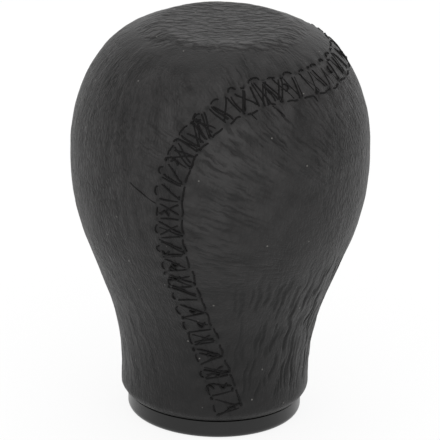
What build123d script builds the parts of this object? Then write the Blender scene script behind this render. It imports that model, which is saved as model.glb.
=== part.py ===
"""Leather covered gear shift knob.

A pear shaped moulded core carries a threaded metal insert for the gear lever. Two leather panels
cover the core and are laced together along one seam, and a clip-in ring closes the base.
The origin is the middle of the base, +Z is up and +X is the middle of the side panel.
All sizes are in millimetres.
"""

from build123d import *
import bisect
import math
import os

os.makedirs("parts", exist_ok=True)

# Form of the covered knob, with heights stacked upwards from the base
ring_height = 3.3
neck_length = 12.6
flare_length = 24.7
belly_length = 18.4
taper_length = 10.3
crown_rise = 3.6
neck_diameter = 33.5
belly_diameter = 53.0
shoulder_diameter = 39.6
crown_diameter = 23.6

# Roundings of that form, where one stretch runs into the next
flare_radius = 43.5
belly_radius = 41.0
taper_radius = 27.0
shoulder_radius = 14.0
crown_radius = 4.7

# Leather cover
leather_thickness = 1.2
hem_fold_radius = 0.25
panel_gap = 0.5

# Seam as seen from the side: it leans back from its foot, turns upright, then runs level to the front
seam_foot_forward = 4.6
seam_back = 8.6
seam_upright_height = 40.0
seam_drop = 5.5
seam_lean_radius = 50.0
seam_turn_radius = 18.5

# Thread and stitches
thread_diameter = 0.55
thread_sides = 8
thread_clearance = 0.08
lacing_pitch = 3.5
lacing_width = 3.6
lacing_cross_share = 0.2
lacing_foot_gap = 0.15
edge_stitch_space = 1.1
edge_row_gap = 0.1
seam_end_margin = 1.0

# Base ring, clipped into the core around the insert's collar
ring_setback = 1.25
ring_edge_radius = 1.1
recess_wall = 3.0
spigot_depth = 3.4
bead_radius = 0.5
bead_height = 0.35
fit_clearance = 0.1

# Threaded insert, with a hexagonal body in the core and a round collar through the ring
thread_bore_diameter = 12.0
thread_bore_depth = 26.0
thread_mouth_chamfer = 0.8
collar_wall = 2.5
collar_recess = 0.6
hex_wall = 3.0
hex_end_wall = 5.4
hex_groove_width = 4.0
hex_groove_depth = 0.8

# Heights and radii that follow from the driving sizes
flare_height = ring_height + neck_length
belly_low = flare_height + flare_length
belly_high = belly_low + belly_length
shoulder_height = belly_high + taper_length
knob_height = shoulder_height + crown_rise
neck_radius = neck_diameter / 2
belly_half_width = belly_diameter / 2
hem_radius = leather_thickness + hem_fold_radius
seam_level = knob_height - seam_drop
thread_radius = thread_diameter / 2
core_floor = ring_height + leather_thickness
spigot_top = core_floor + spigot_depth
recess_roof = spigot_top + fit_clearance
recess_radius = neck_radius - leather_thickness - recess_wall
spigot_radius = recess_radius - fit_clearance
bead_spot = (spigot_radius + bead_height - bead_radius, core_floor + spigot_depth / 2)
ring_radius = neck_radius - ring_setback
bore_radius = thread_bore_diameter / 2
collar_radius = bore_radius + collar_wall
ring_hole_radius = collar_radius + fit_clearance
hex_inner_radius = bore_radius + hex_wall
hex_length = collar_recess + thread_bore_depth + hex_end_wall - recess_roof

form_corners = [
    Vector(neck_radius, ring_height),
    Vector(neck_radius, flare_height),
    Vector(belly_half_width, belly_low),
    Vector(belly_half_width, belly_high),
    Vector(shoulder_diameter / 2, shoulder_height),
    Vector(crown_diameter / 2, knob_height),
]
form_radii = [hem_radius, flare_radius, belly_radius, taper_radius, shoulder_radius, crown_radius]


def eased_radii(points, radii):
    """Return the corner radii, made smaller together where two roundings would meet on one stretch."""
    room = 0.99
    runs = [after - before for before, after in zip(points, points[1:])]
    half_turns = [math.radians(a.get_angle(b)) / 2 for a, b in zip(runs, runs[1:])]
    tangents = [radius * math.tan(turn) for radius, turn in zip(radii, half_turns)]
    used = [a + b for a, b in zip([0] + tangents, tangents + [0])]
    ease = min([1.0] + [room * run.length / use for run, use in zip(runs, used) if use > 0])
    return [radius * ease for radius in radii]


def form_outline(inset):
    """Return the knob's half outline from base to top, as corners and radii, moved inwards."""
    points = [Vector(0, ring_height)] + form_corners + [Vector(0, knob_height)]
    runs = [(after - before).normalized() for before, after in zip(points, points[1:])]
    inward = [Vector(-run.Y, run.X) for run in runs]
    mitres = [(a + b) / (1 + a.dot(b)) for a, b in zip(inward, inward[1:])]
    corners = [p + shift * inset for p, shift in zip(points, [inward[0]] + mitres + [inward[-1]])]
    bulges = [math.copysign(inset, a.cross(b).Z) for a, b in zip(runs, runs[1:])]
    radii = [radius - bulge for radius, bulge in zip(eased_radii(points, form_radii), bulges)]
    return corners, radii


def form_section(inset):
    """Return the half section of the knob, with its outside moved inwards by the inset."""
    corners, radii = form_outline(inset)
    with BuildSketch(Plane.XZ) as section:
        with BuildLine():
            FilletPolyline(corners, radius=radii)
            Line(corners[-1], corners[0])
        make_face()
    return section.sketch


def seam_route(tip_forward):
    """Return the seam as seen from the side, as corners and radii, up to a point at the front."""
    corners = [
        Vector(seam_foot_forward, 0),
        Vector(-seam_back, seam_upright_height),
        Vector(-seam_back, seam_level),
        Vector(tip_forward, seam_level),
    ]
    return corners, eased_radii(corners, [seam_lean_radius, seam_turn_radius])


def side_block(growth):
    """Return the block in front of and below the seam, with its sides moved outwards."""
    reach = 2 * belly_diameter
    corners, radii = seam_route(reach)
    with BuildPart() as block:
        with BuildSketch(Plane.XZ):
            with BuildLine():
                FilletPolyline(corners, radius=radii)
                Polyline(corners[-1], (reach, 0), corners[0])
            make_face()
            offset(amount=growth, kind=Kind.INTERSECTION)
        extrude(amount=reach, both=True)
    return block.part


# Threaded insert
with BuildPart() as insert_form:
    with BuildSketch(Plane.XY.offset(collar_recess)):
        Circle(collar_radius)
    extrude(amount=recess_roof - collar_recess)
    with BuildSketch(Plane.XY.offset(recess_roof)):
        RegularPolygon(hex_inner_radius, 6, major_radius=False)
    extrude(amount=hex_length)
    with BuildSketch(Plane.XY.offset(recess_roof + (hex_length - hex_groove_width) / 2)):
        Circle(2 * hex_inner_radius)
        Circle(hex_inner_radius - hex_groove_depth, mode=Mode.SUBTRACT)
    extrude(amount=hex_groove_width, mode=Mode.SUBTRACT)

with BuildPart() as threaded_insert:
    add(insert_form.part)
    with BuildSketch(Plane.XY.offset(collar_recess)):
        Circle(bore_radius)
    extrude(amount=thread_bore_depth, mode=Mode.SUBTRACT)
    mouth_edges = threaded_insert.edges().filter_by(GeomType.CIRCLE).group_by(Axis.Z)[0]
    chamfer(mouth_edges.sort_by(SortBy.RADIUS)[0], thread_mouth_chamfer)
threaded_insert.part.label = "threaded_insert"
export_step(threaded_insert.part, "parts/threaded_insert.step")

# Base ring with a spigot that clips into the core by a bead
with BuildPart() as base_ring:
    with BuildSketch(Plane.XZ):
        with BuildLine():
            FilletPolyline(
                (ring_hole_radius, 0),
                (ring_radius, 0),
                (ring_radius, ring_height),
                (spigot_radius, ring_height),
                radius=[ring_edge_radius, 0],
            )
            Polyline(
                (spigot_radius, ring_height),
                (spigot_radius, spigot_top),
                (ring_hole_radius, spigot_top),
                (ring_hole_radius, 0),
            )
        make_face()
        with Locations(bead_spot):
            Circle(bead_radius)
    revolve(axis=Axis.Z)
base_ring.part.label = "base_ring"
export_step(base_ring.part, "parts/base_ring.step")

# Core, with the ring's recess and the seat that is moulded around the insert
with BuildPart() as core_form:
    revolve(form_section(leather_thickness), axis=Axis.Z)

with BuildPart() as core:
    add(core_form.part)
    with BuildSketch(Plane.XZ):
        with Locations((0, core_floor)):
            Rectangle(recess_radius, recess_roof - core_floor, align=Align.MIN)
        with Locations(bead_spot):
            Circle(bead_radius + fit_clearance)
    revolve(axis=Axis.Z, mode=Mode.SUBTRACT)
    add(insert_form.part, mode=Mode.SUBTRACT)
core.part.label = "core"
export_step(core.part, "parts/core.step")

# Leather cover, folded under the core at the hem and cut in two along the seam
with BuildPart() as cover:
    revolve(form_section(0), axis=Axis.Z)
    add(core_form.part, mode=Mode.SUBTRACT)
    with BuildSketch(Plane.XY):
        Circle(recess_radius)
    extrude(amount=core_floor, mode=Mode.SUBTRACT)

inside_seam = side_block(-panel_gap / 2)
with BuildPart() as side_panel:
    add(cover.part)
    add(inside_seam, mode=Mode.INTERSECT)
side_panel.part.label = "side_panel"
export_step(side_panel.part, "parts/side_panel.step")

across_seam = side_block(panel_gap / 2)
with BuildPart() as main_panel:
    add(cover.part)
    add(across_seam, mode=Mode.SUBTRACT)
main_panel.part.label = "main_panel"
export_step(main_panel.part, "parts/main_panel.step")

# The skin as radius against height, for laying the stitches on it
skin_corners, skin_radii = form_outline(0)
with BuildLine() as skin_outline:
    FilletPolyline(skin_corners, radius=skin_radii)
outline_steps = 1200
skin_samples = [skin_outline.wire() @ (step / outline_steps) for step in range(outline_steps + 1)]
skin_heights = [sample.Y for sample in skin_samples]


def skin_radius(height):
    """Return the radius of the leather's outside at a height."""
    index = min(max(bisect.bisect_left(skin_heights, height), 1), outline_steps)
    low, high = skin_samples[index - 1], skin_samples[index]
    share = (height - low.Y) / (high.Y - low.Y)
    return low.X + (high.X - low.X) * share


def skin_spot(near):
    """Return the skin's point at a point's azimuth and height, and the outward normal there."""
    step = 0.05
    slope = (skin_radius(near.Z + step) - skin_radius(near.Z - step)) / (2 * step)
    outward = Vector(near.X, near.Y, 0).normalized()
    spot = outward * skin_radius(near.Z) + Vector(0, 0, near.Z)
    return spot, (outward - Vector(0, 0, slope)).normalized()


def seam_points():
    """Return points of the seam on the skin, from its foot on one side to its foot on the other."""
    tip = skin_radius(seam_level)
    corners, radii = seam_route(tip)
    with BuildLine() as route:
        FilletPolyline(corners, radius=radii)
    steps = 160
    half = []
    for step in range(steps):
        spot = route.wire() @ (1 - (1 - step / steps) ** 2)
        if spot.Y > ring_height + hem_radius:
            half.append(Vector(spot.X, -math.sqrt(skin_radius(spot.Y) ** 2 - spot.X**2), spot.Y))
    return half + [Vector(tip, 0, seam_level)] + [Vector(p.X, -p.Y, p.Z) for p in reversed(half)]


seam_line = Spline(seam_points())
lacing_run = seam_line.length - 2 * seam_end_margin
lacing_count = round(lacing_run / lacing_pitch)
pitch = lacing_run / lacing_count
lacing_foot = (thread_diameter + lacing_foot_gap) / 2
lacing_half_width = lacing_width / 2
edge_row = lacing_half_width + thread_diameter + edge_row_gap
edge_stitch_length = pitch - edge_stitch_space


def beside_seam(along, aside):
    """Return the skin's point at a length along the lacing and a distance to the main panel's side."""
    station = seam_end_margin + along
    middle, normal = skin_spot(seam_line.position_at(station, PositionMode.LENGTH))
    sideways = normal.cross(seam_line.tangent_at(station, PositionMode.LENGTH))
    return skin_spot(middle + sideways * aside)[0]


def stitch_plane(start, end):
    """Return the plane of a stitch laid on the skin between two points, with its x along the stitch."""
    spot, normal = skin_spot((start + end) / 2)
    along = (end - start).normalized()
    upright = normal - along * normal.dot(along)
    return Plane(spot + normal * (thread_radius + thread_clearance), x_dir=along, z_dir=upright)


def edge_stitch_planes(aside):
    """Return the planes of a row of stitches that runs beside the seam."""
    half = edge_stitch_length / 2
    middles = [(index + 0.5) * pitch for index in range(lacing_count)]
    return [stitch_plane(beside_seam(m - half, aside), beside_seam(m + half, aside)) for m in middles]


def lacing_planes(side, start_share, end_share):
    """Return the planes of the stitches that cross the seam from one side, once in each pitch."""
    planes = []
    for index in range(lacing_count):
        start = beside_seam((index + start_share) * pitch + lacing_foot, side * lacing_half_width)
        end = beside_seam((index + end_share) * pitch - lacing_foot, -side * lacing_half_width)
        planes.append(stitch_plane(start, end))
    return planes


def lacing_length(share):
    """Return the length of a lacing stitch that takes up a share of the pitch."""
    return math.hypot(lacing_width, share * pitch - 2 * lacing_foot)


def stitch(length):
    """Return one straight stitch along x, as a many-sided rod."""
    with BuildPart() as rod:
        with BuildSketch(Plane.YZ):
            RegularPolygon(thread_radius, thread_sides)
        extrude(amount=length / 2, both=True)
    return rod.part


# Lacing that draws the panels together: it goes straight across the seam and slants back
straight_stitch = stitch(lacing_length(lacing_cross_share))
slanted_stitch = stitch(lacing_length(1 - lacing_cross_share))
with BuildPart() as seam_lacing:
    with Locations(*lacing_planes(1, 0, lacing_cross_share)):
        add(straight_stitch)
    with Locations(*lacing_planes(-1, lacing_cross_share, 1)):
        add(slanted_stitch)
seam_lacing.part.label = "seam_lacing"
export_step(seam_lacing.part, "parts/seam_lacing.step")

# Rows of stitches along the edges of the two panels
edge_stitch = stitch(edge_stitch_length)
with BuildPart() as main_edge_stitching:
    with Locations(*edge_stitch_planes(edge_row)):
        add(edge_stitch)
main_edge_stitching.part.label = "main_edge_stitching"
export_step(main_edge_stitching.part, "parts/main_edge_stitching.step")

with BuildPart() as side_edge_stitching:
    with Locations(*edge_stitch_planes(-edge_row)):
        add(edge_stitch)
side_edge_stitching.part.label = "side_edge_stitching"
export_step(side_edge_stitching.part, "parts/side_edge_stitching.step")
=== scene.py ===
"""Looks of the leather covered gear shift knob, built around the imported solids.

The leather, its seam and its thread are new pieces in place of the plain solids. The ring, the core
and the insert keep their solids and get materials. Shapes are worked out in millimetres, in the
frame of the solids, and made metres at the end of each piece. A name that ends in border is a
pair: where a soft change starts, and where it is complete.
"""

import cmath
import math
import random

import bmesh
import bpy
import numpy as np
from mathutils import Matrix, Vector, kdtree, noise


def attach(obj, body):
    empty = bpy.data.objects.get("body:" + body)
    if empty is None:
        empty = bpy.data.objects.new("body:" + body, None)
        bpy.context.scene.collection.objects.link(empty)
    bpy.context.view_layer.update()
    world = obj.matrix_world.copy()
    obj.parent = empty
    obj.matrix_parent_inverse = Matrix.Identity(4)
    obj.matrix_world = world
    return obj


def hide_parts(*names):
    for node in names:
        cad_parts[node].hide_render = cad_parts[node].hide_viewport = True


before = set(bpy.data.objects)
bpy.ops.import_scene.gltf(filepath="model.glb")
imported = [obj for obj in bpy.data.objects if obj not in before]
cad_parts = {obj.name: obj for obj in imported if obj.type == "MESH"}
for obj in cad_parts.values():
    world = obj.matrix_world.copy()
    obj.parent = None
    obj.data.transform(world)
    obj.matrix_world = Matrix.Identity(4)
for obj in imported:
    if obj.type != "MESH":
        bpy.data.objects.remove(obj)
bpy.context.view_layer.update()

MM = 0.001

# Steps along outlines, and lengths that count as nothing, as touching and as one point
fine_step = 0.1
seam_step = 0.4
tiny = 1e-6
touch = 1e-3
weld_distance = 1e-4

# Outline of the leather, from the fold under the hem to the middle of the top
hem_inner_radius = 12.6
hem_level = 3.3
hem_radius = 2.2
seam_foot_level = 4.75
neck_radius = 16.75
belly_radius = 26.5
knob_height = 72.9
outline_corners = [
    complex(hem_inner_radius, hem_level),
    complex(neck_radius, hem_level),
    complex(neck_radius, 15.9),
    complex(belly_radius, 40.6),
    complex(belly_radius, 59.0),
    complex(19.8, 69.3),
    complex(11.8, knob_height),
    complex(0, knob_height),
]
outline_radii = [hem_radius, 43.5, 41.0, 27.0, 14.0, 4.7]

# Seam as seen from the side
seam_level = 67.4
seam_corners = [complex(4.6, 0), complex(-8.6, 40), complex(-8.6, seam_level)]
seam_radii = [50.0, 18.5]

# Leather and thread
leather_thickness = 1.1
seam_gap = 0.02
lacing_pitch = 3.5
lacing_cross_share = 0.2
lacing_cross_gain = 0.5
lacing_cross_border = (58, 76)
lacing_foot = 0.35
lacing_reach = 2.15
edge_row = 2.45
seam_end_margin = 1.0
strand_radius = 0.17

# Grain of the leather: sizes and heights of its features
pebble_size = 0.75
pebble_height = 0.36
pore_size = 0.3
pore_height = 0.08
streak_width = 0.68
streak_length = 2.5
streak_height = 0.13
sway_size = 1.7
sway_reach = 1.3
pull_sway = 0.7
pull_width = 0.5
pull_length = 4.5
pull_height = 0.15
# Height over which the hollows of the grain and relief go from painted shade to the plain tone
hollow_shade_depth = 0.08
handling_size = 7.0
lint_space = 3.6
lint_radius = 0.16

# Sizes of the features in the other materials
fuzz_size = 0.3
mould_grain_size = 0.25
mould_flow_size = 5.0
core_flow_size = 3.0
lathe_ridge_width = 0.3
tarnish_size = 4.0


# Materials

def linear(hex_colour):
    """Return an sRGB hex colour as linear RGBA."""
    channels = [int(hex_colour[i:i + 2], 16) / 255 for i in (1, 3, 5)]
    return [c / 12.92 if c <= 0.04045 else ((c + 0.055) / 1.055) ** 2.4 for c in channels] + [1.0]


def per_mm(size):
    """Return the texture scale whose features are a size in millimetres."""
    return 1 / (size * MM)


def add_node(tree, kind, inputs=None, **settings):
    """Add a node, set its options, and set or link its inputs."""
    node = tree.nodes.new(kind)
    for name, value in settings.items():
        setattr(node, name, value)
    for name, value in (inputs or {}).items():
        if isinstance(value, bpy.types.NodeSocket):
            tree.links.new(value, node.inputs[name])
        else:
            node.inputs[name].default_value = value
    return node


def new_material(name):
    """Return an empty material with its node tree and its shader."""
    material = bpy.data.materials.new(name)
    material.use_nodes = True
    tree = material.node_tree
    return material, tree, tree.nodes["Principled BSDF"]


def leather_material():
    """Black cowhide with a thin matt finish: a soft sheen that grows towards the rims, over pebbled
    grain and long swaying cells whose valleys are painted darker as shade, painted shade towards the
    neck, below the top's rim, on the belly's right and between the leg stitches, a painted highlight
    beside the seam on top, fine creases where the lacing pulls the hide, and a little lint."""
    material, tree, shader = new_material("black finished cowhide")
    place = add_node(tree, "ShaderNodeTexCoord").outputs["Object"]
    noises = (
        (pebble_size, 2.0, 0.45), (pore_size, 2.0, 0.6), (handling_size, 3.0, 0.6), (sway_size, 1.0, 0.5),
    )
    pebbles, pores, handling, sway = (
        add_node(
            tree, "ShaderNodeTexNoise",
            {"Vector": place, "Scale": per_mm(size), "Detail": detail, "Roughness": roughness},
        )
        for size, detail, roughness in noises
    )
    pull, strength, form, pebbled, unshaded, upright, streaked = (
        add_node(tree, "ShaderNodeAttribute", attribute_name=name)
        for name in ("pull", "pull_strength", "relief", "pebbles", "unshaded", "upright", "streaked")
    )
    sway = add_node(
        tree, "ShaderNodeVectorMath", {0: sway.outputs["Color"], 1: (0.5, 0.5, 0.5)},
        operation="SUBTRACT",
    )
    streak_sway = add_node(
        tree, "ShaderNodeMapRange",
        {"Value": pebbled.outputs["Fac"], "From Min": 0.3, "From Max": 0.9, "To Min": sway_reach,
         "To Max": sway_reach / 6},
    )
    streak_place = add_node(
        tree, "ShaderNodeVectorMath",
        {0: sway.outputs[0], 1: streak_sway.outputs["Result"], 2: upright.outputs["Vector"]},
        operation="MULTIPLY_ADD",
    )
    streak_place = add_node(
        tree, "ShaderNodeVectorMath",
        {0: streak_place.outputs[0], 1: (1 / streak_width, 1 / streak_width, 1 / streak_length)},
        operation="MULTIPLY",
    )
    streaks = add_node(
        tree, "ShaderNodeTexVoronoi", {"Vector": streak_place.outputs[0], "Scale": 1.0},
        feature="DISTANCE_TO_EDGE",
    )
    streaks = add_node(
        tree, "ShaderNodeMapRange",
        {"Value": streaks.outputs["Distance"], "From Max": 0.3, "To Min": -0.5, "To Max": 0.5},
        interpolation_type="SMOOTHSTEP",
    )
    streaked = add_node(
        tree, "ShaderNodeMath", {0: streaked.outputs["Fac"], 1: streak_height}, operation="MULTIPLY",
    )
    pull_place = add_node(
        tree, "ShaderNodeVectorMath",
        {0: sway.outputs[0], 1: (pull_sway, pull_sway, 0), 2: pull.outputs["Vector"]},
        operation="MULTIPLY_ADD",
    )
    pull_place = add_node(
        tree, "ShaderNodeVectorMath",
        {0: pull_place.outputs[0], 1: (1 / pull_width, 1 / pull_length, 0)}, operation="MULTIPLY",
    )
    pull_noise = add_node(
        tree, "ShaderNodeTexNoise",
        {"Vector": pull_place.outputs[0], "Scale": 1.0, "Detail": 1.0, "Roughness": 0.4},
    )
    crease = add_node(
        tree, "ShaderNodeMapRange",
        {"Value": pull_noise.outputs["Fac"], "From Min": 0.3, "From Max": 0.58, "To Min": 0.7,
         "To Max": -0.4},
        interpolation_type="SMOOTHSTEP",
    )
    patches = add_node(
        tree, "ShaderNodeMapRange",
        {"Value": handling.outputs["Fac"], "From Min": 0.35, "From Max": 0.6, "To Max": pull_height},
    )
    pulled = add_node(
        tree, "ShaderNodeMath",
        {0: patches.outputs["Result"], 1: strength.outputs["Fac"]}, operation="MULTIPLY",
    )
    pulled = add_node(
        tree, "ShaderNodeMath", {0: pulled.outputs[0], 1: crease.outputs["Result"]},
        operation="MULTIPLY",
    )
    pebbled = add_node(
        tree, "ShaderNodeMath", {0: pebbled.outputs["Fac"], 1: pebble_height}, operation="MULTIPLY",
    )
    centred = add_node(
        tree, "ShaderNodeMath", {0: pebbles.outputs["Fac"], 1: 0.5}, operation="SUBTRACT",
    )
    grain = add_node(
        tree, "ShaderNodeMath", {0: centred.outputs[0], 1: pebbled.outputs[0]}, operation="MULTIPLY",
    )
    grain = add_node(
        tree, "ShaderNodeMath", {0: pores.outputs["Fac"], 1: pore_height, 2: grain.outputs[0]},
        operation="MULTIPLY_ADD",
    )
    grain = add_node(
        tree, "ShaderNodeMath", {0: streaks.outputs[0], 1: streaked.outputs[0], 2: grain.outputs[0]},
        operation="MULTIPLY_ADD",
    )
    grain = add_node(
        tree, "ShaderNodeMath", {0: grain.outputs[0], 1: pulled.outputs[0]}, operation="SUBTRACT",
    )
    bump = add_node(
        tree, "ShaderNodeBump", {"Strength": 1.0, "Distance": MM, "Height": grain.outputs[0]},
    )
    depth = add_node(
        tree, "ShaderNodeMath", {0: grain.outputs[0], 1: form.outputs["Fac"]}, operation="ADD",
    )
    mean_depth = pore_height / 2
    # Painted shade: the hollows of the grain and of the relief take the darker end of each tone
    hollow_shade = add_node(
        tree, "ShaderNodeMapRange",
        {"Value": depth.outputs[0], "From Min": mean_depth - hollow_shade_depth,
         "From Max": mean_depth + hollow_shade_depth},
    )
    shaded_tone = add_node(
        tree, "ShaderNodeMix",
        {"Factor": hollow_shade.outputs["Result"], "A": linear("#080808"), "B": linear("#1a1919")},
        data_type="RGBA",
    )
    unshaded_tone = add_node(
        tree, "ShaderNodeMix",
        {"Factor": hollow_shade.outputs["Result"], "A": linear("#161515"), "B": linear("#302f2f")},
        data_type="RGBA",
    )
    # Painted shade: the darker tone where the unshaded share is low, towards the neck, below the top's
    # rim, on the belly's right and between the leg stitches
    tone = add_node(
        tree, "ShaderNodeMix",
        {"Factor": unshaded.outputs["Fac"], "A": shaded_tone.outputs["Result"],
         "B": unshaded_tone.outputs["Result"]},
        data_type="RGBA",
    )
    lint = add_node(
        tree, "ShaderNodeTexVoronoi", {"Vector": place, "Scale": per_mm(lint_space)},
    )
    speck = add_node(
        tree, "ShaderNodeMath", {0: lint.outputs["Distance"], 1: lint_radius / lint_space},
        operation="LESS_THAN",
    )
    speckled = add_node(
        tree, "ShaderNodeMix",
        {"Factor": speck.outputs[0], "A": tone.outputs["Result"], "B": linear("#5f5e5b")},
        data_type="RGBA",
    )
    sheen = add_node(
        tree, "ShaderNodeMapRange",
        {"Value": handling.outputs["Fac"], "To Min": 0.5, "To Max": 0.4},
    )
    tree.links.new(speckled.outputs["Result"], shader.inputs["Base Color"])
    tree.links.new(sheen.outputs["Result"], shader.inputs["Roughness"])
    tree.links.new(bump.outputs["Normal"], shader.inputs["Normal"])
    shader.inputs["IOR"].default_value = 1.34
    return material


def mottled_material(name, size, detail, dark, light):
    """Return a material whose colour wanders between two tones, its tree, shader, place and wander."""
    material, tree, shader = new_material(name)
    place = add_node(tree, "ShaderNodeTexCoord").outputs["Object"]
    mottle = add_node(
        tree, "ShaderNodeTexNoise", {"Vector": place, "Scale": per_mm(size), "Detail": detail},
    ).outputs["Fac"]
    tone = add_node(
        tree, "ShaderNodeMix", {"Factor": mottle, "A": linear(dark), "B": linear(light)},
        data_type="RGBA",
    )
    tree.links.new(tone.outputs["Result"], shader.inputs["Base Color"])
    return material, tree, shader, place, mottle


def thread_material():
    """Black waxed sewing thread: dull, with fine uneven fuzz."""
    material, tree, shader, _, fuzz = mottled_material(
        "black waxed thread", fuzz_size, 2.0, "#070707", "#121111")
    bump = add_node(
        tree, "ShaderNodeBump", {"Strength": 0.6, "Distance": 0.05 * MM, "Height": fuzz},
    )
    tree.links.new(bump.outputs["Normal"], shader.inputs["Normal"])
    shader.inputs["Roughness"].default_value = 0.8
    shader.inputs["IOR"].default_value = 1.31
    return material


def ring_material():
    """Moulded black polypropylene: an even satin skin with the fine grain of a spark-eroded mould."""
    material, tree, shader, place, flow = mottled_material(
        "moulded black polypropylene", mould_flow_size, 2.0, "#0f0f0f", "#161616")
    grain = add_node(
        tree, "ShaderNodeTexNoise",
        {"Vector": place, "Scale": per_mm(mould_grain_size), "Detail": 2.0},
    )
    bump = add_node(
        tree, "ShaderNodeBump",
        {"Strength": 0.35, "Distance": 0.03 * MM, "Height": grain.outputs["Fac"]},
    )
    gloss = add_node(tree, "ShaderNodeMapRange", {"Value": flow, "To Min": 0.24, "To Max": 0.34})
    tree.links.new(gloss.outputs["Result"], shader.inputs["Roughness"])
    tree.links.new(bump.outputs["Normal"], shader.inputs["Normal"])
    shader.inputs["IOR"].default_value = 1.42
    return material


def core_material():
    """Moulded polyurethane core: dark grey, dull, with fine flow marks."""
    material, tree, shader, _, flow = mottled_material(
        "moulded grey polyurethane", core_flow_size, 4.0, "#161616", "#232323")
    bump = add_node(
        tree, "ShaderNodeBump", {"Strength": 0.3, "Distance": 0.05 * MM, "Height": flow},
    )
    tree.links.new(bump.outputs["Normal"], shader.inputs["Normal"])
    shader.inputs["Roughness"].default_value = 0.65
    return material


def brass_material():
    """Turned brass: warm yellow metal with fine rings left by the lathe."""
    material, tree, shader, place, tarnish = mottled_material(
        "turned brass", tarnish_size, 4.0, "#b08d4c", "#d0ae68")
    lathe = add_node(
        tree, "ShaderNodeTexWave",
        {"Vector": place, "Scale": per_mm(lathe_ridge_width) / (2 * math.pi), "Distortion": 0.4,
         "Detail": 1.0},
        wave_type="RINGS", rings_direction="Z",
    )
    gloss = add_node(tree, "ShaderNodeMapRange", {"Value": tarnish, "To Min": 0.42, "To Max": 0.24})
    bump = add_node(
        tree, "ShaderNodeBump",
        {"Strength": 0.25, "Distance": 0.02 * MM, "Height": lathe.outputs["Fac"]},
    )
    tree.links.new(gloss.outputs["Result"], shader.inputs["Roughness"])
    tree.links.new(bump.outputs["Normal"], shader.inputs["Normal"])
    shader.inputs["Metallic"].default_value = 1.0
    return material


leather = leather_material()
thread = thread_material()
ring_plastic = ring_material()
core_plastic = core_material()
brass = brass_material()


# Form of the skin and route of the seam

seam_samples = 2000
route_stride = 4
points_at_once = 20000


def rounded_path(corners, radii, step):
    """Return points about a step apart along straight runs that tangent arcs join."""
    points = [corners[0]]
    for corner, after, radius in zip(corners[1:], corners[2:], radii):
        into = (corner - points[-1]) / abs(corner - points[-1])
        out = (after - corner) / abs(after - corner)
        turn = cmath.phase(out / into)
        start = corner - into * radius * math.tan(abs(turn) / 2)
        centre = start + into * 1j * math.copysign(radius, turn)
        points += straight_run(points[-1], start, step)
        pieces = max(math.ceil(abs(turn) * radius / step), 1)
        points += [centre + (start - centre) * cmath.exp(1j * turn * k / pieces)
                   for k in range(1, pieces + 1)]
    return points + straight_run(points[-1], corners[-1], step)


def straight_run(start, end, step):
    """Return points about a step apart from after the start up to the end."""
    pieces = max(math.ceil(abs(end - start) / step), 1)
    return [start + (end - start) * k / pieces for k in range(1, pieces + 1)]


fine_outline = np.array(rounded_path(outline_corners, outline_radii, fine_step))
rising = np.concatenate([[True], np.diff(fine_outline.imag) > tiny])
skin_heights = fine_outline.imag[rising]
skin_widths = fine_outline.real[rising]
skin_rises = np.concatenate([[0], np.cumsum(np.hypot(np.diff(skin_heights), np.diff(skin_widths)))])


def skin_radius(height):
    """Return the radius of the leather's outside at heights."""
    return np.interp(height, skin_heights, skin_widths)


def skin_spots(points):
    """Return the skin's points at the azimuths and heights of points, and the outward normals."""
    radial = points * [1, 1, 0]
    radial /= np.linalg.norm(radial, axis=1, keepdims=True)
    height = points[:, 2]
    slope = (skin_radius(height + fine_step) - skin_radius(height - fine_step)) / (2 * fine_step)
    normal = radial - np.outer(slope, [0, 0, 1])
    normal /= np.linalg.norm(normal, axis=1, keepdims=True)
    return radial * skin_radius(height)[:, None] + np.outer(height, [0, 0, 1]), normal


seam_tip = float(skin_radius(seam_level))
seam_corners.append(complex(seam_tip, seam_level))
seam_route = np.array(rounded_path(seam_corners, seam_radii, fine_step))
seam_heading = np.gradient(seam_route)
seam_heading /= abs(seam_heading)

# The seam in space runs from its foot at the front over the top of the side panel to the other foot
route_lengths = np.concatenate([[0], np.cumsum(abs(np.diff(seam_route)))])
route_shares = 1 - (1 - np.linspace(0, 1, seam_samples)) ** 2
seam_half = np.interp(route_shares * route_lengths[-1], route_lengths, seam_route)
seam_half = seam_half[seam_half.imag > seam_foot_level]
seam_depth = np.sqrt(np.maximum(skin_radius(seam_half.imag) ** 2 - seam_half.real ** 2, 0))
seam_front = np.stack([seam_half.real, -seam_depth, seam_half.imag], axis=1)
seam_line = np.concatenate([seam_front, seam_front[-2::-1] * [1, -1, 1]])
seam_stations = np.concatenate([[0], np.cumsum(np.linalg.norm(np.diff(seam_line, axis=0), axis=1))])
seam_tree = kdtree.KDTree(len(seam_line))
for index, spot in enumerate(seam_line.tolist()):
    seam_tree.insert(spot, index)
seam_tree.balance()
lacing_run = seam_stations[-1] - 2 * seam_end_margin
lacing_count = round(lacing_run / lacing_pitch)
pitch = lacing_run / lacing_count


def seam_at(along):
    """Return the seam's points at lengths along the lacing."""
    return np.stack([np.interp(along + seam_end_margin, seam_stations, seam_line[:, axis])
                     for axis in range(3)], axis=1)


def beside_seam(along, aside):
    """Return the skin's points at lengths along the lacing and distances to the main panel's side."""
    along = np.atleast_1d(np.asarray(along, float))
    tangent = seam_at(along + seam_step) - seam_at(along - seam_step)
    tangent /= np.linalg.norm(tangent, axis=1, keepdims=True)
    middle, normal = skin_spots(seam_at(along))
    sideways = np.cross(normal, tangent)
    return skin_spots(middle + sideways * np.atleast_1d(aside)[:, None])


# Leather

outline_step = 0.36
outline_columns = 560
lining_step = 1.6
lining_columns = 112
skin_sectors = 16

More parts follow.
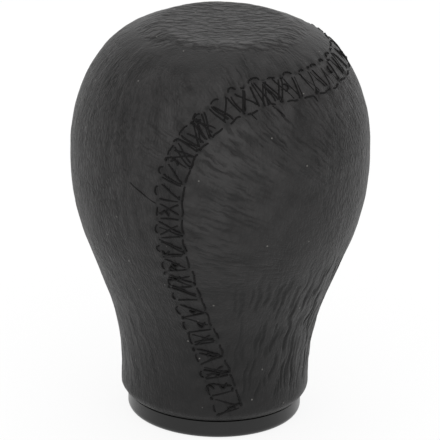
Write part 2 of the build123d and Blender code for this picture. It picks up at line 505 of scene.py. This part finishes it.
# Kinds of wrinkle: height, lengths along the three axes, and seed. Seeds lie a space apart
seed_space = 17.3
swells = (0.06, (3.4, 3.4, 3.4), 1)
lumps = (0.025, (1.1, 1.1, 1.1), 2)
top_ripples = (0.1, (3.2, 0.9, 2), 3)
left_streaks = (0.06, (1.3, 1.3, 8), 4)
right_streaks = (0.12, (1.0, 1.0, 6), 5)
pull_ridges = (0.05, (1.3, 7, 1), 6)
neck_wrinkles = (0.1, (1.3, 1.3, 8), 7)
neck_creases = (1.0, (0.85, 0.85, 6), 8)
pucker_wrinkles = (0.8, (4, 4, 4), 9)
flare_lines = (0.1, (0.75, 0.75, 5), 10)
top_edge = (0.3, (6, 6, 6), 11)

# Rippled top, which reaches further out at its two sides, and how its places are scaled for cells
top_border = (71.9, 72.7)
top_side_reach = 0.7
top_side_border = (5, 12)
top_depth_scale = 0.5
top_width_scale = 0.8
top_cell_strength = 1.6

# Streaks of the two sides, which end below the top
front_streak = 0.2
front_left_streak = 0.2
front_left_border = (2, 8)
side_left_streak = 0.6
side_left_border = (14, 20)
side_right_streak = 0.55
side_right_border = (16, 23)
streak_end_border = (68.5, 70.9)
streak_tilt = -0.3
streak_tilt_border = (-4, 8)
left_border = (4, 15)
right_border = (13, 23)
calm_border = (30, 42)
calm_share = 7 / 12

# Pebbled grain
plain_pebbles = 0.17
top_pebbles = 0.75
right_pebbles = 0.08
right_pebble_border = (10, 21)
neck_pebble_loss = 0.05

# Hem: where the relief fades out, and the level above which an open rim is the seam's
hem_fade_border = (hem_level + 0.05, hem_level + 1.2)
hem_edge_level = hem_level + 0.5

# Wrinkles and creases of the neck and the flare
hem_border = (6, 10)
neck_border = (22, 34)
neck_left_border = (7, 12)
neck_slant = math.radians(-8)
flare_border = (25, 39)
crease_side_border = (-2, 8)
crease_border = (0.1, 0.45)
crease_depth = 0.2
crease_lean = 0.06
crease_sway_size = 3.2
crease_sway_seed = 1795834206
line_side_border = (8, 13)
line_lean = 0.04

# What the lacing does to the leather beside the seam
seam_share = 0.35
seam_calm_border = (1.0, 5.0)
seam_crease_depth = 0.03
seam_crease_width = 0.2
pucker_height = 0.07
pucker_evenness = 0.6
pucker_place = 2.6
pucker_width = 1.8
hole_dip_depth = 0.16
hole_dip_width = 0.38
hole_search = 4
far_from_holes = 9.0

# Pull lines. On the unrolled side panel they run towards one place, and their spacing is true at a reach
pull_end = complex(42, 31)
pull_spacing_reach = 36
back_pull_shift = 5
side_pull_reach = 24
main_pull_reach = 14
pull_start_border = (1.5, 4)
pull_fade_border = (0.3, 1)
pull_end_border = (8, 16)
pull_level_border = (26, 40)
main_pull = 0.7
main_pull_border = (44, 58)
main_pull_calm = 0.8
main_calm_border = (76, 90)

# Painted shade: darker towards the bottom, below the top's rim, on the belly's right and between the
# stitches of the seam's legs; and a painted highlight, lighter, beside the seam above its legs
lower_shade_border = (18, 58)
shoulder_border = (68.4, 70.2)
shoulder_shade = 0.5
right_shade = 0.35
right_shade_border = (8, 15)
right_shade_end_border = (57, 63)
leg_shade = 0.6
leg_shade_border = (1.6, 2.8)
leg_end_border = (60, 80)
# Painted highlight beside the seam on top: its width, and how far it lifts the tone
seam_highlight_border = (1.8, 2.8)
seam_highlight_height = 0.06


def smooth_step(value, low, high):
    """Return a soft step from 0 at low to 1 at high."""
    share = np.clip((value - low) / (high - low), 0, 1)
    return share * share * (3 - 2 * share)


def bell(distance, width):
    """Return a soft bump that is 1 at no distance and fades over a width."""
    return np.exp(-(distance / width) ** 2)


def wrinkle(points, height, lengths, seed):
    """Return noise of a height whose lumps have three lengths along the axes, in millimetres."""
    scaled = points / np.array(lengths) + seed * seed_space
    return height * np.array([noise.noise(spot) for spot in scaled.tolist()])


def side_distance(points):
    """Return the distance to the seam in the side view, above 0 on the main panel, and its heading."""
    flat = points[:, 0] + 1j * points[:, 2]
    nearest = np.empty(len(flat), int)
    coarse = seam_route[::route_stride]
    for first in range(0, len(flat), points_at_once):
        some = slice(first, first + points_at_once)
        nearest[some] = route_stride * np.argmin(abs(flat[some, None] - coarse[None, :]), axis=1)
    heading = seam_heading[nearest]
    across = ((flat - seam_route[nearest]) * heading.conj()).imag
    return across, heading


def seam_place(points):
    """Return each point's station along the seam and its distance from it, below 0 on the side panel."""
    found = [seam_tree.find(spot) for spot in points.tolist()]
    station = seam_stations[[index for _, index, _ in found]]
    distance = np.array([away for _, _, away in found])
    return station, np.copysign(distance, side_distance(points)[0])


def from_seam_ends(station):
    """Return the length along the seam to its nearer foot."""
    return np.minimum(station, seam_stations[-1] - station)


def spun_skin(step, columns, inset):
    """Spin the outline, moved inwards by the inset, into a skin from under the hem to the top."""
    outline = np.array(rounded_path(outline_corners, outline_radii, step))
    heading = np.gradient(outline)
    outline = outline + 1j * heading / abs(heading) * inset
    outline = np.where(abs(outline.real) < tiny, 1j * outline.imag, outline)
    bm = bmesh.new()
    spots = [bm.verts.new((spot.real, 0, spot.imag)) for spot in outline]
    edges = [bm.edges.new(pair) for pair in zip(spots, spots[1:])]
    bmesh.ops.spin(
        bm, geom=spots + edges, cent=(0, 0, 0), axis=(0, 0, 1), angle=2 * math.pi / skin_sectors,
        steps=columns // skin_sectors,
    )
    sector = bm.verts[:] + bm.edges[:] + bm.faces[:]
    for index in range(1, skin_sectors):
        turned = bmesh.ops.duplicate(bm, geom=sector)["geom"]
        bmesh.ops.rotate(
            bm, verts=[part for part in turned if isinstance(part, bmesh.types.BMVert)],
            cent=(0, 0, 0), matrix=Matrix.Rotation(2 * math.pi * index / skin_sectors, 3, "Z"),
        )
    bmesh.ops.remove_doubles(bm, verts=bm.verts, dist=weld_distance)
    bmesh.ops.recalc_face_normals(bm, faces=bm.faces)
    return bm


def cut_along_seam(bm):
    """Move the mesh's nearest points onto the seam, and part its faces there. Return each point's
    distance to the seam, above 0 on the main panel."""
    bm.verts.index_update()
    places = np.array([vert.co for vert in bm.verts])
    side = side_distance(places)[0]
    moves = {}
    for edge in bm.edges:
        a, b = (vert.index for vert in edge.verts)
        if side[a] * side[b] < 0:
            share = side[a] / (side[a] - side[b])
            near, part = (a, share) if share < 0.5 else (b, 1 - share)
            other = b if near == a else a
            shift = (places[other] - places[near]) * part
            if near not in moves or np.linalg.norm(shift) < np.linalg.norm(moves[near]):
                moves[near] = shift
    bm.verts.ensure_lookup_table()
    for index, shift in moves.items():
        bm.verts[index].co += Vector(shift)
        side[index] = 0
    on_seam = [vert for vert in bm.verts if side[vert.index] == 0]
    bmesh.ops.connect_verts(bm, verts=on_seam)
    return side


def one_panel(bm, side, sign):
    """Return a copy of the skin with only the faces on one side of the seam."""
    panel = bm.copy()
    far = [face for face in panel.faces if sum(side[vert.index] for vert in face.verts) * sign < 0]
    bmesh.ops.delete(panel, geom=far, context="FACES")
    return panel


def upright_lines(points, lean=0.0):
    """Return places in which lines that run up the knob lie along the third axis. The lean is the
    tangent by which they tilt to the right at the front, and to the same side at the back."""
    x, y, z = points.T
    rise = np.interp(z, skin_heights, skin_rises)
    round_knob = (x + 1j * y) / np.maximum(np.hypot(x, y), touch)
    round_knob = belly_radius * round_knob * np.exp(1j * lean * rise / belly_radius * round_knob.imag)
    return np.stack([round_knob.real, round_knob.imag, rise], axis=1)


def swayed(points):
    """Return the points moved about by soft seeded noise, so that creases through them sway."""
    return points + np.array([noise.noise_vector(spot) for spot in (points / crease_sway_size).tolist()])


def top_share(points):
    """Return how much of a spot belongs to the rippled top, whose border is uneven and lies further
    out at the two sides."""
    sides = top_side_reach * smooth_step(abs(points[:, 0]), *top_side_border)
    return smooth_step(points[:, 2] + sides + wrinkle(points, *top_edge), *top_border)


def streak_lines(points):
    """Return the places of the streaks, which tilt to the left where they near the seam's left side,
    and which on top are wider cells that lie across it."""
    x, y, z = points.T
    across = np.stack([top_depth_scale * y, 0 * y, top_width_scale * x], axis=1)
    upright = upright_lines(points, streak_tilt * smooth_step(-x, *streak_tilt_border))
    return np.where(z[:, None] > streak_end_border[1], across, upright)


def streak_share(points):
    """Return how strongly the streaks show: most at the knob's two sides, least at its front, and as
    cells on top."""
    x, _, z = points.T
    share = front_streak + front_left_streak * smooth_step(-x, *front_left_border)
    share += side_left_streak * smooth_step(-x, *side_left_border)
    share += side_right_streak * smooth_step(x, *side_right_border)
    return share * (1 - smooth_step(z, *streak_end_border)) + top_cell_strength * top_share(points)


def pebble_share(points):
    """Return how strongly the pebbled grain shows: fully on top, softly where the hide is stretched."""
    x, _, z = points.T
    top = top_share(points)
    right = smooth_step(x, *right_pebble_border) * (1 - top)
    neck = 1 - smooth_step(z, *neck_border)
    return plain_pebbles + top_pebbles * top + right_pebbles * right - neck_pebble_loss * neck


def from_pull_end(points):
    """Return each point's place on the unrolled side panel, from the place its pull lines run towards."""
    x, y, z = points.T
    return belly_radius * np.arctan2(x, abs(y)) + 1j * z - pull_end


def pull_lines(points, station, beside):
    """Return places in which the pull lines run along the second axis: square to the seam on the main
    panel, and towards the side panel's lower rear on the side panel."""
    spread = from_pull_end(points)
    turn = np.arctan2(spread.imag, -spread.real) * pull_spacing_reach
    main_lines = np.stack([station, beside, 0 * beside], axis=1)
    side_lines = np.stack([turn, abs(spread), back_pull_shift * np.sign(points[:, 1])], axis=1)
    return np.where(beside[:, None] > 0, main_lines, side_lines)


def pull_strength(points, station, beside):
    """Return how much the lacing's pull shows: most beside the seam, and less down at the neck."""
    off = abs(beside)
    reach = np.where(beside < 0, side_pull_reach, main_pull_reach)
    strength = smooth_step(off, *pull_start_border) * (1 - smooth_step(off / reach, *pull_fade_border))
    from_end = from_seam_ends(station)
    on_main = main_pull * smooth_step(from_end, *main_pull_border)
    on_main *= 1 - main_pull_calm * smooth_step(from_end, *main_calm_border)
    on_side = smooth_step(abs(from_pull_end(points)), *pull_end_border)
    strength *= smooth_step(points[:, 2], *pull_level_border)
    return strength * np.where(beside < 0, on_side, on_main)


def neck_relief(points):
    """Return the wrinkles on the neck's left, and the creases and fine lines that sway up the flare's
    right."""
    x, _, z = points.T
    swaying = swayed(points)
    above_hem = smooth_step(z, *hem_border)
    neck = (1 - smooth_step(z, *neck_border)) * above_hem
    flare = (1 - smooth_step(z, *flare_border)) * above_hem
    slant = np.array(Matrix.Rotation(neck_slant, 3, "Y"))
    wrinkles = wrinkle(swaying @ slant, *neck_wrinkles)
    creases = smooth_step(-wrinkle(upright_lines(swaying, crease_lean), *neck_creases), *crease_border)
    lines = wrinkle(upright_lines(swaying, line_lean), *flare_lines)
    height = neck * smooth_step(-x, *neck_left_border) * wrinkles
    height -= flare * smooth_step(x, *crease_side_border) * crease_depth * creases
    return height + flare * smooth_step(x, *line_side_border) * lines


def stitch_relief(points, station, beside):
    """Return the crease along the seam, the puckers beside it and the dips at the lacing's holes."""
    off = abs(beside)
    wave = np.cos(2 * math.pi * (station - seam_end_margin) / pitch)
    unevenness = pucker_evenness + wrinkle(points, *pucker_wrinkles)
    from_hole = np.array([hole_tree.find(spot)[2] if near else far_from_holes
                          for spot, near in zip(points.tolist(), off < hole_search)])
    height = pucker_height * wave * unevenness * bell(off - pucker_place, pucker_width)
    height -= seam_crease_depth * bell(off, seam_crease_width)
    return height - hole_dip_depth * bell(from_hole, hole_dip_width)


def relief(points, station, beside):
    """Return how far the leather stands above its plain form, in millimetres."""
    x, _, z = points.T
    top = top_share(points)
    streaks = streak_lines(points)
    left = smooth_step(-x, *left_border) * (1 - top)
    right = smooth_step(x, *right_border) * (1 - top) * (1 - calm_share * smooth_step(z, *calm_border))
    height = wrinkle(points, *swells) + wrinkle(points, *lumps) + top * wrinkle(points, *top_ripples)
    height += left * wrinkle(streaks, *left_streaks) + right * wrinkle(streaks, *right_streaks)
    pulls = wrinkle(pull_lines(points, station, beside), *pull_ridges)
    height += pull_strength(points, station, beside) * pulls + neck_relief(points)
    height *= seam_share + (1 - seam_share) * smooth_step(abs(beside), *seam_calm_border)
    height += stitch_relief(points, station, beside)
    return height * smooth_step(z, *hem_fade_border)


def on_seam_leg(station):
    """Return how much of a station belongs to the seam's two legs, and not to its run over the top."""
    return 1 - smooth_step(from_seam_ends(station), *leg_end_border)


def unshaded_share(points, station, beside):
    """Return the share of the lighter tone, the rest being painted shade: more up the knob, and less
    below the top's rim, on the belly's right and between the stitches of the seam's legs."""
    x, _, z = points.T
    # Painted shade towards the bottom, below the top's rim, on the belly's right and between the leg
    # stitches
    shoulder = smooth_step(z, *shoulder_border) * (1 - top_share(points))
    right = smooth_step(x, *right_shade_border) * (1 - smooth_step(z, *right_shade_end_border))
    leg = on_seam_leg(station) * (1 - smooth_step(abs(beside), *leg_shade_border))
    unshaded = smooth_step(z, *lower_shade_border) * (1 - shoulder_shade * shoulder)
    return unshaded * (1 - right_shade * right) * (1 - leg_shade * leg)


def cross_share(along):
    """Return the share of a pitch that the lacing takes to cross: little on the legs, more on top."""
    from_end = np.minimum(along, lacing_run - along)
    return lacing_cross_share + lacing_cross_gain * smooth_step(from_end, *lacing_cross_border)


# Holes of the lacing, which the leather dips into
main_along = np.arange(lacing_count) * pitch
side_along = main_along + cross_share(main_along) * pitch
main_holes = beside_seam(main_along, np.full(lacing_count, lacing_reach))[0]
side_holes = beside_seam(side_along, np.full(lacing_count, -lacing_reach))[0]
hole_tree = kdtree.KDTree(2 * lacing_count)
for index, spot in enumerate(main_holes.tolist() + side_holes.tolist()):
    hole_tree.insert(spot, index)
hole_tree.balance()


def finish_mesh(mesh, name, material, node=None):
    """Make an object of a mesh that is in metres, attach it to the knob, give it its material, and hide
    the solid it replaces.
    """
    mesh.materials.clear()
    mesh.materials.append(material)
    mesh.shade_smooth()
    piece = bpy.data.objects.new(name, mesh)
    bpy.context.collection.objects.link(piece)
    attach(piece, "root")
    if node:
        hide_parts(node)
    return piece


def finish_piece(bm, name, material, node=None):
    """Make a mesh object of the shape, in metres, that rides with the knob."""
    bmesh.ops.scale(bm, vec=(MM, MM, MM), verts=bm.verts)
    mesh = bpy.data.meshes.new(name)
    bm.to_mesh(mesh)
    bm.free()
    return finish_mesh(mesh, name, material, node)


def skin_normals(places):
    """Return the outward normals of the plain skin, also on its flat top and under its flat hem."""
    at_axis = abs(places[:, :1]) + abs(places[:, 1:2]) < touch
    _, normal = skin_spots(np.where(at_axis, places + [touch, 0, 0], places))
    normal[places[:, 2] > knob_height - touch] = [0, 0, 1]
    normal[places[:, 2] < hem_level + touch] = [0, 0, -1]
    return normal


def mark_leather(panel, marks):
    """Store what the leather's material reads, each value by its name, on the points of a panel."""
    for name, values in marks.items():
        layers = panel.verts.layers.float if values.ndim == 1 else panel.verts.layers.float_vector
        layer = layers.new(name)
        for vert, value in zip(panel.verts, values.tolist()):
            vert[layer] = value


def add_lining(panel, sign):
    """Add a plain lining behind a panel's skin, and the cut edge that joins the two."""
    back = one_panel(lining, lining_side, sign)
    bmesh.ops.reverse_faces(back, faces=back.faces)
    lining_mesh = bpy.data.meshes.new("lining")
    back.to_mesh(lining_mesh)
    back.free()
    panel.from_mesh(lining_mesh)
    bpy.data.meshes.remove(lining_mesh)
    rims = [edge for edge in panel.edges if edge.is_boundary]
    for rim in rims:
        rim.smooth = False
    bmesh.ops.bridge_loops(panel, edges=rims)


def make_panel(name, node, sign):
    """Make one leather panel: the worked skin, drawn back a little from the seam, with its lining."""
    panel = one_panel(skin, skin_side, sign)
    panel.normal_update()
    panel.verts.index_update()
    places = np.array([vert.co for vert in panel.verts])
    station, beside = seam_place(places)
    rise = relief(places, station, beside)
    worked = places + skin_normals(places) * rise[:, None]
    for vert, spot in zip(panel.verts, worked.tolist()):
        vert.co = spot
    # Painted highlight: beside the seam on top, the height that the colour reads is raised, so the
    # leather there takes the lighter tone
    seam_highlight = (1 - on_seam_leg(station)) * (1 - smooth_step(abs(beside), *seam_highlight_border))
    mark_leather(panel, {
        "pull": pull_lines(places, station, beside),
        "pull_strength": pull_strength(places, station, beside),
        "relief": rise + seam_highlight_height * seam_highlight,
        "pebbles": pebble_share(places),
        "unshaded": unshaded_share(places, station, beside),
        "upright": streak_lines(places),
        "streaked": streak_share(places),
    })
    edge = [vert for vert in panel.verts if vert.is_boundary and vert.co.z > hem_edge_level]
    _, heading = side_distance(np.array([vert.co for vert in edge]))
    for vert, way in zip(edge, heading):
        vert.co += Vector((-way.imag, 0, way.real)) * sign * seam_gap / 2
    add_lining(panel, sign)
    return finish_piece(panel, name, leather, node)


noise.seed_set(crease_sway_seed)
skin = spun_skin(outline_step, outline_columns, 0)
skin_side = cut_along_seam(skin)
lining = spun_skin(lining_step, lining_columns, leather_thickness)
lining_side = cut_along_seam(lining)
make_panel("main_leather", "main_panel", 1)
make_panel("side_leather", "side_panel", -1)
skin.free()
lining.free()


# Thread

draw = random.Random(7)

# Heights above the skin at which strands end in their holes, and at which they lie on the leather
stitch_root = -0.8
loop_root = -0.6
knot_root = -0.5
tail_tip = -0.3
edge_bend = 0.05
edge_lie = 0.06
tail_fineness = 0.65
hook_fineness = 0.8

# Stretches of the lacing, by the length to its nearer foot
foot_border = (10, 24)
corner_start_border = (44, 54)
corner_end_border = (72, 80)
fine_border = (68, 80)
top_run_border = (80, 90)
leg_dash_border = (50, 70)

# Chance shifts of the stitches' ends and bows, of the doubled and crossed stitches, and of the knots
end_shift = 0.25
bow_shift = 0.35
loose_shift = 0.4
doubled_end_shift = 0.5
crossed_start_shift = 0.8
crossed_shift = 0.5
loop_shift = 1.6
knot_chance = 0.6
knot_along_shift = 0.4
knot_aside_shift = 0.3
knot_width = 0.35


def strand(curve, path, fineness=1.0):
    """Add one strand to a curve, through places given as lengths along, aside and above the skin."""
    along, aside, above = np.array(path).T
    spots, normal = beside_seam(along, aside)
    spots = (spots + normal * above[:, None]) * MM
    spline = curve.splines.new("NURBS")
    spline.points.add(len(spots) - 1)
    for point, spot in zip(spline.points, spots.tolist()):
        point.co = (*spot, 1)
        point.radius = fineness
    spline.order_u = 3
    spline.use_endpoint_u = True
    spline.resolution_u = 2


def new_thread_curve(radius):
    """Return an empty curve that makes round thread."""
    curve = bpy.data.curves.new("thread path", "CURVE")
    curve.dimensions = "3D"
    curve.bevel_depth = radius * MM
    curve.bevel_resolution = 2
    curve.use_fill_caps = True
    return curve


def finish_thread(curve, name, node):
    """Make the strands of a curve a mesh piece that stands for a node of stitches."""
    holder = bpy.data.objects.new("thread holder", curve)
    mesh = bpy.data.meshes.new_from_object(holder)
    bpy.data.objects.remove(holder)
    bpy.data.curves.remove(curve)
    return finish_mesh(mesh, name, thread, node)


def jitter(amount):
    """Return a small chance shift."""
    return draw.uniform(-amount, amount)


def lacing_stitch(curve, along_a, aside_a, along_b, aside_b, bow, fineness):
    """Add a stitch that comes up out of one hole, lies across the seam and goes down another."""
    middle = (along_a + along_b) / 2 + bow
    strand(curve, [
        (along_a, aside_a, stitch_root),
        (along_a, aside_a * 0.97, draw.uniform(-0.1, 0.1)),
        (0.6 * along_a + 0.4 * middle, aside_a * 0.45, draw.uniform(-0.12, 0.14)),
        (0.6 * along_b + 0.4 * middle, aside_b * 0.45, draw.uniform(-0.12, 0.14)),
        (along_b, aside_b * 0.97, draw.uniform(-0.1, 0.1)),
        (along_b, aside_b, stitch_root),
    ], fineness)


def loose_loop(curve, start, aside, lean):
    """Add a small loop that stands a little off the leather and leans along the seam."""
    strand(curve, [
        (start, aside, loop_root),
        (start + 0.1, aside + 0.1, 0.12),
        (start + lean, aside + 0.6, 0.2),
        (start + lean, aside + 1.2, 0.2),
        (start + 0.1, aside + 1.5, 0.12),
        (start, aside + 1.6, loop_root),
    ])


def small_knot(curve, along, aside, far):
    """Add a short turn of thread at a hole."""
    strand(curve, [
        (along - 0.3, aside, knot_root),
        (along - 0.3, aside + far, draw.uniform(0.05, 0.15)),
        (along + 0.3, aside + far + jitter(0.2), draw.uniform(0.05, 0.15)),
        (along + 0.3, aside, knot_root),
    ])


# Lacing, doubled and crossed most at the corner, finer and plainer on top, with loops near its feet
lacing = new_thread_curve(strand_radius)
for main_start, side_turn in zip(main_along, side_along):
    from_foot = min(main_start, lacing_run - main_start)
    at_corner = smooth_step(from_foot, *corner_start_border)
    at_corner *= 1 - smooth_step(from_foot, *corner_end_border)
    on_top = smooth_step(from_foot, *top_run_border)
    fineness = 1 - 0.25 * smooth_step(from_foot, *fine_border)
    untidiness = 0.35 + 0.35 * at_corner
    doubled_chance = 0.4 + 0.3 * at_corner - 0.3 * on_top
    crossed_chance = 0.2 + 0.5 * at_corner - 0.1 * on_top
    loop_chance = 0.75 - 0.6 * smooth_step(from_foot, *foot_border)
    runs = (
        (main_start + lacing_foot, lacing_reach, side_turn - lacing_foot, -lacing_reach),
        (side_turn + lacing_foot, -lacing_reach, main_start + pitch - lacing_foot, lacing_reach),
    )
    for along_a, aside_a, along_b, aside_b in runs:
        along_a += jitter(untidiness)
        along_b += jitter(untidiness)
        aside_a += jitter(end_shift)
        aside_b += jitter(end_shift)
        bow = jitter(bow_shift)
        lacing_stitch(lacing, along_a, aside_a, along_b, aside_b, bow, fineness)
        if draw.random() < doubled_chance:
            beside = draw.uniform(0.4, 0.8) * draw.choice((-1, 1))
            lacing_stitch(
                lacing, along_a + beside, aside_a + jitter(loose_shift),
                along_b + beside + jitter(doubled_end_shift), aside_b + jitter(loose_shift),
                bow + jitter(loose_shift), fineness,
            )
        if draw.random() < crossed_chance:
            across = draw.uniform(0.6, 3.0)
            lacing_stitch(
                lacing, along_a + jitter(crossed_start_shift), lacing_reach + jitter(crossed_shift),
                along_a + across, -lacing_reach + jitter(crossed_shift), jitter(loose_shift), fineness,
            )
        if draw.random() < loop_chance:
            start = main_start + draw.uniform(0, pitch)
            aside = jitter(loop_shift)
            lean = draw.uniform(0.5, 1.1) * draw.choice((-1, 1))
            loose_loop(lacing, start, aside, lean)

# Small knots where the thread turns in its holes
hole_places = [(along, lacing_reach) for along in main_along]
hole_places += [(along, -lacing_reach) for along in side_along]
for along, aside in hole_places:
    if draw.random() < knot_chance:
        along += jitter(knot_along_shift)
        aside += jitter(knot_aside_shift)
        small_knot(lacing, along, aside, knot_width * draw.choice((-1, 1)))

# Tails of thread that lie on the leather beside the seam, at the front and mirrored at the back
thread_tails = [
    [(45.0, 2.2), (45.5, 3.4), (46.2, 5.0), (46.9, 7.1), (47.4, 8.4)],
    [(69.3, -2.3), (69.5, -3.0), (70.1, -4.4)],
    [(73.8, -2.5), (74.3, -3.1), (75.3, -4.2), (76.1, -5.4)],
    [(82.2, -2.1), (82.7, -3.0), (83.0, -4.0)],
]
for tail in thread_tails:
    front_tail = [(along, aside, 0.0) for along, aside in tail]
    back_tail = [(lacing_run - along, aside, 0.0) for along, aside in tail]
    for run in (front_tail, back_tail):
        (start, side, _), (end, far_side, _) = run[0], run[-1]
        strand(lacing, [(start, side, loop_root)] + run + [(end, far_side, tail_tip)], tail_fineness)
finish_thread(lacing, "lacing_thread", "seam_lacing")

# Short dashes hold the side panel's edge, and small hooks hold the main panel's
dashes = new_thread_curve(strand_radius)
for side_turn in side_along:
    on_leg = 1 - smooth_step(min(side_turn, lacing_run - side_turn), *leg_dash_border)
    start = side_turn + 0.4 - 0.3 * on_leg + jitter(0.2)
    end = start + 2.1 + 0.9 * on_leg + jitter(0.4)
    aside_a = -edge_row + jitter(end_shift)
    aside_b = -edge_row + jitter(end_shift)
    strand(dashes, [
        (start, aside_a, stitch_root),
        (start + 0.05, aside_a, edge_bend),
        (start + 0.7, aside_a + jitter(0.4), edge_lie),
        (end - 0.7, aside_b + jitter(0.4), edge_lie),
        (end - 0.05, aside_b, edge_bend),
        (end, aside_b, stitch_root),
    ])
finish_thread(dashes, "side_edge_thread", "side_edge_stitching")

hooks = new_thread_curve(hook_fineness * strand_radius)
for main_start in main_along:
    start = main_start + 0.7 + jitter(0.2)
    end = start + 1.8 + jitter(0.5)
    outward = edge_row + 0.25 + jitter(0.3)
    strand(hooks, [
        (start, lacing_reach, stitch_root),
        (start + 0.03, lacing_reach + 0.05, edge_bend),
        (start + 0.4, outward, edge_lie),
        (end - 0.4, outward + jitter(0.2), edge_lie),
        (end - 0.03, lacing_reach + 0.05, edge_bend),
        (end, lacing_reach, stitch_root),
    ])
finish_thread(hooks, "main_edge_thread", "main_edge_stitching")


# Thread of the insert

bore_radius = 6.0
crest_radius = 5.35
screw_pitch = 1.25
screw_start = 2.2
screw_turns = 17
screw_steps = 40
root_radius = bore_radius + 0.02
root_half_width = 0.52
crest_half_width = 0.16
tooth_corners = [
    (root_radius, -root_half_width), (crest_radius, -crest_half_width),
    (crest_radius, crest_half_width), (root_radius, root_half_width),
]
tooth = bmesh.new()
tooth_spots = [tooth.verts.new((radius, 0, screw_start + rise)) for radius, rise in tooth_corners]
tooth_edges = [tooth.edges.new((a, b)) for a, b in zip(tooth_spots, tooth_spots[1:] + tooth_spots[:1])]
bmesh.ops.spin(
    tooth, geom=tooth_spots + tooth_edges, cent=(0, 0, 0), axis=(0, 0, 1),
    dvec=(0, 0, screw_pitch / screw_steps), angle=2 * math.pi * screw_turns,
    steps=screw_steps * screw_turns,
)
bmesh.ops.holes_fill(tooth, edges=[edge for edge in tooth.edges if edge.is_boundary], sides=4)
bmesh.ops.recalc_face_normals(tooth, faces=tooth.faces)
screw = finish_piece(tooth, "insert_screw_thread", brass)
screw.data.shade_flat()


# Materials of the solids that stay

for node, material in (("base_ring", ring_plastic), ("core", core_plastic), ("threaded_insert", brass)):
    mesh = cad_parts[node].data
    mesh.materials.clear()
    mesh.materials.append(material)


# Stage, light and camera

floor_half_size = 6.0
floor_drop = 0.02
floor_material, _, floor_shader = new_material("pale studio floor")
floor_shader.inputs["Base Color"].default_value = linear("#5c5c5c")
floor_shader.inputs["Roughness"].default_value = 0.8
floor_shader.inputs["Specular IOR Level"].default_value = 0.0
floor_shader.inputs["Emission Color"].default_value = linear("#ffffff")
floor_shader.inputs["Emission Strength"].default_value = 0.88
floor_bm = bmesh.new()
bmesh.ops.create_grid(floor_bm, x_segments=1, y_segments=1, size=floor_half_size)
bmesh.ops.translate(floor_bm, verts=floor_bm.verts, vec=(0, 0, -floor_drop * MM))
floor_mesh = bpy.data.meshes.new("floor")
floor_bm.to_mesh(floor_mesh)
floor_bm.free()
floor_mesh.materials.append(floor_material)
floor = bpy.data.objects.new("floor", floor_mesh)
bpy.context.collection.objects.link(floor)

# The tent is bright in front and behind, and dimmer overhead
tent_front = 1.52
tent_top = 0.4
tent_back = 0.97
world = bpy.data.worlds.new("light tent")
bpy.context.scene.world = world
world.use_nodes = True
tent_tree = world.node_tree
tent_place = add_node(tent_tree, "ShaderNodeTexCoord").outputs["Generated"]
tent_depth = add_node(tent_tree, "ShaderNodeSeparateXYZ", {0: tent_place}).outputs["Y"]
front_half = add_node(
    tent_tree, "ShaderNodeMapRange",
    {"Value": tent_depth, "From Min": -1.0, "From Max": -0.1, "To Min": tent_front - tent_top,
     "To Max": 0.0},
    interpolation_type="SMOOTHSTEP",
)
back_half = add_node(
    tent_tree, "ShaderNodeMapRange",
    {"Value": tent_depth, "From Min": 0.1, "From Max": 0.8, "To Min": tent_top, "To Max": tent_back},
    interpolation_type="SMOOTHSTEP",
)
tent = add_node(
    tent_tree, "ShaderNodeMath",
    {0: front_half.outputs["Result"], 1: back_half.outputs["Result"]}, operation="ADD",
)
tent_light = tent_tree.nodes["Background"]
tent_light.inputs["Color"].default_value = linear("#ffffff")
tent_tree.links.new(tent.outputs[0], tent_light.inputs["Strength"])
bpy.context.scene.view_settings.view_transform = "Standard"


def softbox(name, place, target, size, power):
    """Add a square area light that points at a target, in metres and watts."""
    light = bpy.data.lights.new(name, "AREA")
    light.shape = "SQUARE"
    light.size = size
    light.energy = power
    holder = bpy.data.objects.new(name, light)
    bpy.context.collection.objects.link(holder)
    holder.location = place
    aim = Vector(target) - Vector(place)
    holder.rotation_euler = aim.to_track_quat("-Z", "Y").to_euler()
    return holder


softbox("overhead", place=(0, 0.25, 1.2), target=(0, 0, 0.03), size=1.3, power=2.7)
floor_wash = softbox("floor wash", place=(0, 0, 1.4), target=(0, 0, 0), size=2.0, power=12)
floor_wash.visible_glossy = False

camera_distance = 0.9
camera_elevation = math.radians(21.556)
camera_roll = math.radians(1.408)
look_at = Vector((0, 0, 0.036))
camera_data = bpy.data.cameras.new("camera")
camera_data.sensor_width = 36
camera_data.lens = 413.6
camera_data.shift_x = 0.0033
camera_data.shift_y = -0.00275
camera_data.clip_end = 50
camera = bpy.data.objects.new("camera", camera_data)
bpy.context.collection.objects.link(camera)
away = Vector((0, -math.cos(camera_elevation), math.sin(camera_elevation)))
camera.location = look_at + away * camera_distance
look = (-away).to_track_quat("-Z", "Y").to_matrix()
camera.rotation_euler = (look @ Matrix.Rotation(camera_roll, 3, "Z")).to_euler()
bpy.context.scene.camera = camera
